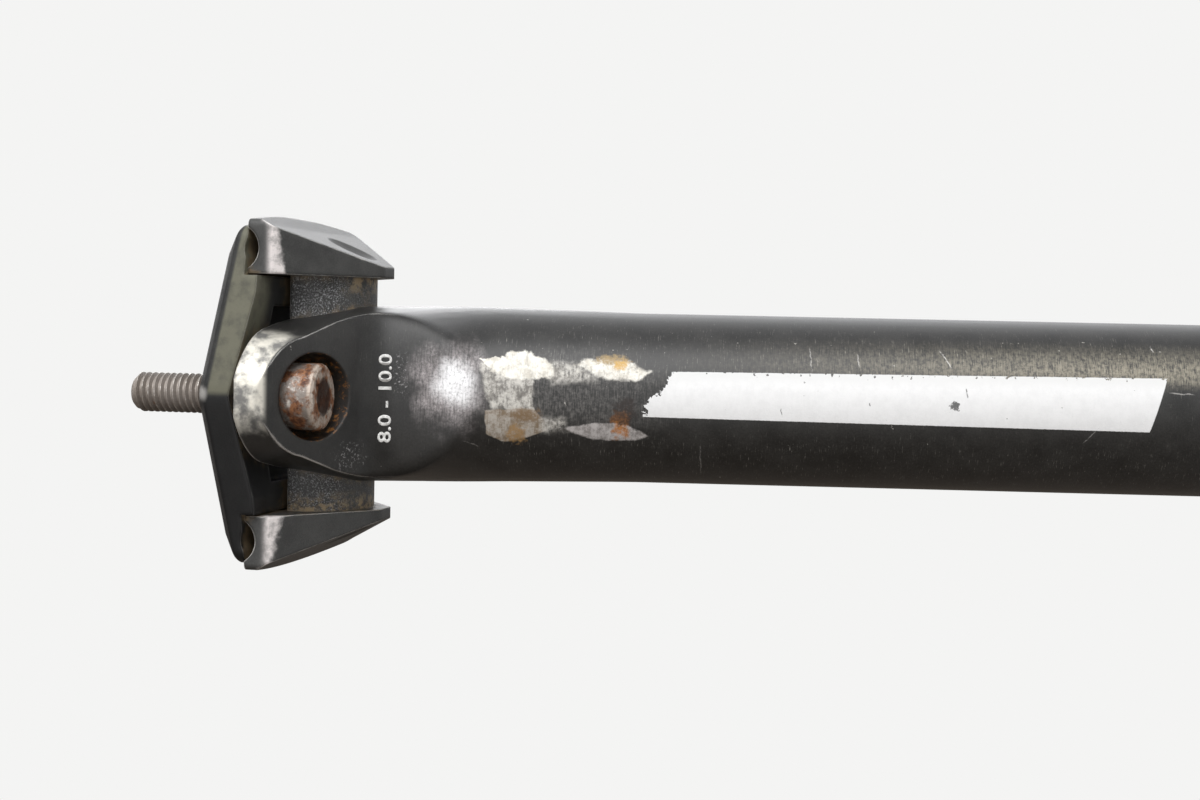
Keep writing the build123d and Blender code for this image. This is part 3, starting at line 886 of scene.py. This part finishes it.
corner = product(tree, by_ear, on_barrel, ramp(tree, spot["Level"], -6.5, -9.0), ramp(tree, grit, 0.42, 0.58))
packed_dirt = reckon(tree, "MAXIMUM", ledge, corner)
base = layer(tree, product(tree, packed_dirt, 0.8), base, paint(0.36, 0.265, 0.15))
bare = reckon(tree, "MAXIMUM", edges, heel)
rough = reckon(tree, "MULTIPLY_ADD", dirt, 0.3, rough)
surface(tree, shader, base, product(tree, bare, 0.3), rough)
barrel_relief = reckon(tree, "MULTIPLY_ADD", product(tree, on_barrel, sparkle), 1.0, skin["Height"])
bumps(tree, shader, barrel_relief, 0.06, 0.6, 0.8)
dress(finish, "lower_cradle")
print("cradle finish", len(tree.nodes), "nodes")

# %% [markdown]
# ### The top plate
# The half of the rear edge that faces the rider's right, towards the light, is painted a lighter
# green-grey as painted light. The other half is painted a darker, glossier black as painted shade. The
# roof is rubbed and scratched, most round the two studs, where a bright worn ring is also a painted
# highlight. A small painted highlight sits on the ridge by the rear stud.

# %% The top plate
RIDGE_LEVEL = 9.1
ROOF_SLOPE = -0.138
finish, tree, shader, place, spot, skin, base, edges, dirt, rough = forged_skin(
    "plate_black", 0.012, 0.027, 0.45, 0.22
)
shader.inputs["Specular IOR Level"].default_value = 0.28
roof = reckon(tree, "MULTIPLY_ADD", reckon(tree, "ABSOLUTE", spot["Side"]), ROOF_SLOPE, RIDGE_LEVEL)
below_roof = reckon(tree, "SUBTRACT", roof, spot["Level"])
# The half of the rear edge facing the rider's right, towards the light, is painted lighter: painted light.
lit_half_painted_light = product(
    tree,
    ramp(tree, below_roof, 1.6, 2.1),
    ramp(tree, spot["Side"], -0.3, 0.8),
    ramp(tree, spot["Back"], 14.0, 18.0),
    ramp(tree, noise(tree, place, 0.5, 5.0, 0.6), 0.25, 0.6, 0.55, 1.0),
)
base = layer(tree, product(tree, lit_half_painted_light, 0.62), base, paint(0.165, 0.16, 0.113))
# The other half is painted a darker black as painted shade, and made glossier.
shaded_glossy_half = product(tree, ramp(tree, spot["Side"], 0.2, -0.6), ramp(tree, spot["Back"], 13.0, 17.0))
base = layer(tree, product(tree, shaded_glossy_half, 0.75), base, paint(0.005, 0.0052, 0.006))
on_edge = (spot["Side"], spot["Level"])
# A small bright patch on the ridge by the rear stud, in bare-metal colour, is a painted highlight.
glint = patch_mask(tree, on_edge, (0.2, 8.3), (0.9, 0.8), ragged=0.9, soft=0.7, blotch=0.6)
glint = product(tree, glint, ramp(tree, spot["Back"], 17.0, 19.0), 0.45)
base = layer(tree, glint, base, BARE_METAL)
rough = reckon(tree, "MULTIPLY_ADD", shaded_glossy_half, -0.14, rough)
on_top = ramp(tree, below_roof, 0.9, 0.5)
# Round the studs the top is worn to bare metal; the bright ring is also a painted highlight at their base.
ring_blotch = ramp(tree, noise(tree, place, 0.8, 6.0, 0.7), 0.42, 0.62)
ring = product(tree, ramp(tree, spot["From bolt"], 4.6, 3.3), on_top, ring_blotch, 0.45)
base = layer(tree, ring, base, BARE_METAL)
rubbed = product(tree, on_top, ramp(tree, noise(tree, place, 0.16, 6.0, 0.65), 0.46, 0.68), 0.5)
base = layer(tree, rubbed, base, paint(0.075, 0.072, 0.066))
drawn_out = {"Vector": place, "Rotation": (0.0, 0.0, 0.5), "Scale": (0.12, 3.0, 0.12)}
drawn = put(tree, "Mapping", drawn_out).outputs["Vector"]
scratched = product(tree, on_top, ramp(tree, noise(tree, drawn, 1.0, 4.0, 0.6), 0.64, 0.72), 0.3)
base = layer(tree, scratched, base, paint(0.36, 0.35, 0.33))
base = layer(tree, product(tree, dirt, 0.6), base, ROAD_DIRT)
rough = reckon(tree, "MULTIPLY_ADD", dirt, 0.3, rough)
surface(tree, shader, base, product(tree, edges, 0.45), rough)
bumps(tree, shader, skin["Height"], 0.04, 0.5, 0.9)
dress(finish, "top_clamp")
print("plate finish", len(tree.nodes), "nodes")

# %% [markdown]
# ## Threaded bolts
# The CAD bolts are plain rods, so each is replaced by a bolt with a real helical thread. One line of crests
# and roots along the axis is spun a full turn while it climbs by one pitch. The turn's end then meets its
# start, one pitch on, and the merged doubles close the seam.

# %% The threaded rod
BOLT_LENGTH = 24.0
CREST_RADIUS = 3.0
ROOT_RADIUS = 2.46
PITCH = 1.0
THREAD_OUTLINE = ((ROOT_RADIUS, 0.0), (ROOT_RADIUS, 0.25), (CREST_RADIUS, 0.56), (CREST_RADIUS, 0.69))
HIDDEN_LENGTH = 0.5
TIP_CHAMFER = 0.8
ROUND_STEPS = 48


def cut_square(form, level, keep_below):
    """Cut a form across its axis and close it with a flat face."""
    geometry = form.verts[:] + form.edges[:] + form.faces[:]
    cut = bmesh.ops.bisect_plane(
        form, geom=geometry, dist=1e-7, plane_co=(0, 0, level), plane_no=(0, 0, 1),
        clear_outer=keep_below, clear_inner=not keep_below,
    )["geom_cut"]
    rim = [item for item in cut if isinstance(item, bmesh.types.BMEdge)]
    bmesh.ops.contextual_create(form, geom=rim)


def add_shank(form):
    """The threaded rod, from just inside the head to its chamfered tip."""
    foot = -HIDDEN_LENGTH - 2 * PITCH
    pitches = int((BOLT_LENGTH - foot) / PITCH) + 2
    line = [
        form.verts.new((radius, 0, foot + (step + rise) * PITCH))
        for step in range(pitches)
        for radius, rise in THREAD_OUTLINE
    ]
    rods = [form.edges.new(pair) for pair in zip(line, line[1:])]
    bmesh.ops.spin(
        form, geom=line + rods, cent=(0, 0, 0), axis=(0, 0, 1), dvec=(0, 0, PITCH / ROUND_STEPS),
        angle=2 * pi, steps=ROUND_STEPS,
    )
    bmesh.ops.remove_doubles(form, verts=form.verts[:], dist=0.01)
    cut_square(form, -HIDDEN_LENGTH, False)
    cut_square(form, BOLT_LENGTH, True)
    for vertex in form.verts:
        room = CREST_RADIUS - TIP_CHAMFER + BOLT_LENGTH - vertex.co.z
        spread = vertex.co.xy.length
        if spread > room:
            vertex.co.xy *= room / spread


print("thread of", BOLT_LENGTH, "mm")

# %% [markdown]
# ### The head
# The head is a stack of rings joined by bridges: its bearing face, side and chamfer, then the hex socket.

# %% The head
HEAD_RADIUS = 5.0
HEAD_FACE = -6.0
SOCKET_HALF = 2.5
SOCKET_FLOOR = -2.9
DRILL_POINT = 0.8
SEAT_ROOM = 0.03


def add_ring(form, radius, level, share_of_hex=0.0):
    """A ring of vertices; with a share it follows the socket's six flats instead of a circle."""
    ring = bmesh.ops.create_circle(form, radius=radius, segments=ROUND_STEPS)["verts"]
    for vertex in ring:
        vertex.co.z = level
        if share_of_hex:
            angle = vertex.co.xy.angle_signed(Vector((1, 0))) % (pi / 3) - pi / 6
            vertex.co.xy *= share_of_hex / cos(angle)
    return ring


def ring_edges(form, ring):
    """The edges that join a ring's own vertices, in the form's order."""
    members = set(ring)
    return [edge for edge in form.edges if members.issuperset(edge.verts)]


def add_head(form):
    """The head: bearing face, side, chamfer, socket mouth, socket and its drilled floor."""
    rings = [add_ring(form, radius, level, hexed) for radius, level, hexed in (
        (ROOT_RADIUS - 0.2, -SEAT_ROOM, 0.0),
        (HEAD_RADIUS - 0.25, -SEAT_ROOM, 0.0),
        (HEAD_RADIUS, -0.25, 0.0),
        (HEAD_RADIUS, HEAD_FACE + 0.6, 0.0),
        (HEAD_RADIUS - 0.15, HEAD_FACE + 0.28, 0.0),
        (HEAD_RADIUS - 0.6, HEAD_FACE, 0.0),
        (SOCKET_HALF, HEAD_FACE, 1.1),
        (SOCKET_HALF, HEAD_FACE + 0.3, 1.0),
        (SOCKET_HALF, SOCKET_FLOOR, 1.0),
    )]
    edges = [ring_edges(form, ring) for ring in rings]
    for first, second in zip(edges, edges[1:]):
        bmesh.ops.bridge_loops(form, edges=first + second)
    floor_faces = bmesh.ops.contextual_create(form, geom=edges[-1])["faces"]
    drilled = bmesh.ops.poke(form, faces=floor_faces)["verts"]
    bmesh.ops.translate(form, verts=drilled, vec=(0, 0, DRILL_POINT))
    bmesh.ops.contextual_create(form, geom=edges[0])


print("head", HEAD_RADIUS * 2, "mm across")

# %% [markdown]
# ### The two bolts
# Each bolt is built upright at the origin, then turned along the clamp and set under its lug.

# %% The two bolts
BEARING_LEVEL = -3.0


def make_bolt(side_name, side):
    """One bolt in its place, riding on its body and standing for the plain CAD bolt."""
    form = bmesh.new()
    add_shank(form)
    add_head(form)
    bmesh.ops.recalc_face_normals(form, faces=form.faces[:])
    foot = pivot + clamp_back * (side * BOLT_OFFSET * MM) + clamp_up * (BEARING_LEVEL * MM)
    sideways = Vector((1, 0, 0))
    turn = Matrix((sideways, clamp_up.cross(sideways), clamp_up)).transposed().to_4x4()
    into_place = Matrix.Translation(foot) @ turn @ Matrix.Scale(MM, 4)
    bmesh.ops.transform(form, matrix=into_place, verts=form.verts[:])
    mesh = bpy.data.meshes.new(side_name + "_threaded_bolt")
    form.to_mesh(mesh)
    form.free()
    mesh.shade_smooth()
    mesh.set_sharp_from_angle(angle=radians(28))
    bolt = bpy.data.objects.new(mesh.name, mesh)
    scene.collection.objects.link(bolt)
    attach(bolt, side_name + "_bolt")
    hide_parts(side_name + "_bolt")
    return bolt


bolts = [make_bolt("rear", 1), make_bolt("front", -1)]
print("bolts", [(bolt.name, len(bolt.data.polygons)) for bolt in bolts])

# %% [markdown]
# ## Rusty steel
# The bolts are plated steel. The heads have sat in wet recesses, so rust has crept over them and only a
# few bright glints of steel are left. The studs on top are dry grey steel; the thread's roots and other
# crevices are darkened brown, partly grime and partly painted shade. The hex sockets are painted dark as
# shade, with a tint of rust. The level along the clamp tells head from stud, so one finish serves the
# whole bolt.

# %% Bolt and washer steel
STEEL = paint(0.72, 0.68, 0.64)
RUST_DARK = paint(0.06, 0.019, 0.008)
RUST_LIGHT = paint(0.27, 0.115, 0.048)
for name, node_names, pieces, head_level, rust_on_head in (
    ("bolt_steel", (), bolts, -2.0, 0.53),
    ("washer_steel", ("rear_washer", "front_washer"), (), 0.0, 0.52),
):
    finish, tree, shader = new_finish(name, 0.4)
    place = millimetres(tree)
    spot = place_group(tree, part_place)
    skin = place_group(tree, grain, Scale=3.0)
    head = ramp(tree, spot["Level"], head_level + 1.0, head_level)
    rust_share = reckon(tree, "MULTIPLY_ADD", head, rust_on_head - 0.30, 0.30)
    creep = noise(tree, place, 0.42, 6.0, 0.62)
    rust_edge = reckon(tree, "SUBTRACT", 1.0, rust_share)
    rust = ramp(tree, creep, reckon(tree, "SUBTRACT", rust_edge, 0.06), reckon(tree, "ADD", rust_edge, 0.1))
    crevice_grime_and_shade = place_group(tree, corner_dirt_and_shade, Reach=1.0, Amount=1.0, Blotch=0.8)["Mask"]
    brown = layer(tree, ramp(tree, noise(tree, place, 1.1, 5.0, 0.7), 0.36, 0.64), RUST_DARK, RUST_LIGHT)
    base = layer(tree, ramp(tree, skin["Tone"], 0.3, 0.7), paint(0.44, 0.41, 0.37), STEEL)
    # Crevices and thread roots are darkened brown: partly grime, partly painted shade.
    base = layer(tree, product(tree, crevice_grime_and_shade, 0.7), base, paint(0.07, 0.045, 0.03))
    base = layer(tree, rust, base, brown)
    in_hex = ramp(tree, spot["From bolt"], SOCKET_HALF + 0.25, SOCKET_HALF - 0.1)
    socket_shade_and_rust = product(tree, head, in_hex, 0.8)
    rim = product(
        tree,
        ramp(tree, spot["Level"], head_level - 6.0, head_level - 6.6),
        ramp(tree, spot["From bolt"], SOCKET_HALF + 0.2, SOCKET_HALF + 0.6),
        ramp(tree, creep, 0.60, 0.42),
        0.55,
    )
    base = layer(tree, rim, base, paint(0.66, 0.56, 0.47))
    # The hex socket is painted dark: painted shade with a tint of rust.
    base = layer(tree, socket_shade_and_rust, base, paint(0.045, 0.017, 0.008))
    dull = reckon(tree, "MAXIMUM", rust, product(tree, crevice_grime_and_shade, 0.7))
    metallic = reckon(tree, "MULTIPLY_ADD", dull, -0.65, 0.85)
    surface(tree, shader, base, metallic, reckon(tree, "MULTIPLY_ADD", dull, 0.3, 0.3))
    bumps(tree, shader, reckon(tree, "MULTIPLY_ADD", rust, 0.8, skin["Height"]), 0.05, 0.7, 0.1)
    dress(finish, *node_names)
    for piece in pieces:
        piece.data.materials.append(finish)
    print(name, len(tree.nodes), "nodes")

# %% [markdown]
# ## Printed numbers
# Small white numbers for the tightening force are printed round the back of the head. Text is the natural
# start. It is made a flat mesh and cut fine enough to bend.

# %% The numbers as a flat mesh
SLICES = 60
writing = bpy.data.curves.new("torque_numbers", "FONT")
writing.body = "8.0 - 10.0"
writing.resolution_u = 4
writing.offset = 0.02
writing_object = bpy.data.objects.new("writing", writing)
scene.collection.objects.link(writing_object)
bpy.context.view_layer.update()
depsgraph = bpy.context.evaluated_depsgraph_get()
flat_mesh = bpy.data.meshes.new_from_object(writing_object.evaluated_get(depsgraph))
bpy.data.objects.remove(writing_object)

form = bmesh.new()
form.from_mesh(flat_mesh)
bpy.data.meshes.remove(flat_mesh)
bmesh.ops.remove_doubles(form, verts=form.verts[:], dist=1e-5)
low_x = min(vertex.co.x for vertex in form.verts)
high_x = max(vertex.co.x for vertex in form.verts)
high_y = max(vertex.co.y for vertex in form.verts)
bmesh.ops.dissolve_limit(form, angle_limit=radians(1), verts=form.verts[:], edges=form.edges[:])
for step in range(1, SLICES):
    bmesh.ops.bisect_plane(
        form, geom=form.verts[:] + form.edges[:] + form.faces[:], dist=1e-6,
        plane_co=(low_x + (high_x - low_x) * step / SLICES, 0, 0), plane_no=(1, 0, 0),
    )
bmesh.ops.triangulate(form, faces=form.faces[:])
print("numbers", len(form.faces), "flat faces")

# %% [markdown]
# The flat numbers are dropped from behind on to the post, and given the thickness of paint.

# %% The numbers on the post
NUMBERS_LENGTH = 13.7
NUMBERS_HEIGHT = 1.9
NUMBERS_SIDE = -7.28
NUMBERS_FOOT = 331.9
PAINT_FILM = 0.03
post_surface = BVHTree.FromObject(nodes["post"], bpy.context.evaluated_depsgraph_get())
backwards = Vector((0, -1, 0))
for vertex in form.verts:
    side = NUMBERS_SIDE + (vertex.co.x - low_x) / (high_x - low_x) * NUMBERS_LENGTH
    height = NUMBERS_FOOT + vertex.co.y / high_y * NUMBERS_HEIGHT
    hit = post_surface.ray_cast(Vector((side * MM, -0.1, height * MM)), -backwards)[0]
    vertex.co = hit - backwards * PAINT_FILM * MM
raised = bmesh.ops.extrude_face_region(form, geom=form.faces[:])["geom"]
raised = [item for item in raised if isinstance(item, bmesh.types.BMVert)]
bmesh.ops.translate(form, verts=raised, vec=backwards * 2 * PAINT_FILM * MM)
bmesh.ops.recalc_face_normals(form, faces=form.faces[:])
numbers_mesh = bpy.data.meshes.new("torque_numbers")
form.to_mesh(numbers_mesh)
form.free()
numbers = bpy.data.objects.new("torque_numbers", numbers_mesh)
scene.collection.objects.link(numbers)
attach(numbers, "post")
print("numbers", len(numbers_mesh.polygons), "faces")

# %% [markdown]
# The print has worn thin in places, so noise mixes a dull and a clear white.

# %% The numbers' paint
PRINT_THIN = paint(0.30, 0.30, 0.29)
PRINT_WHITE = paint(0.66, 0.655, 0.64)
finish, tree, shader = new_finish("printed_white", 0.6)
place = millimetres(tree)
thin = ramp(tree, noise(tree, place, 3.0, 5.0, 0.7), 0.32, 0.5)
feed(tree, shader.inputs["Base Color"], layer(tree, thin, PRINT_THIN, PRINT_WHITE))
feed(tree, shader.inputs["Roughness"], ramp(tree, thin, 0.0, 1.0, 0.5, 0.65))
numbers_mesh.materials.append(finish)
print("printed_white", len(tree.nodes), "nodes")
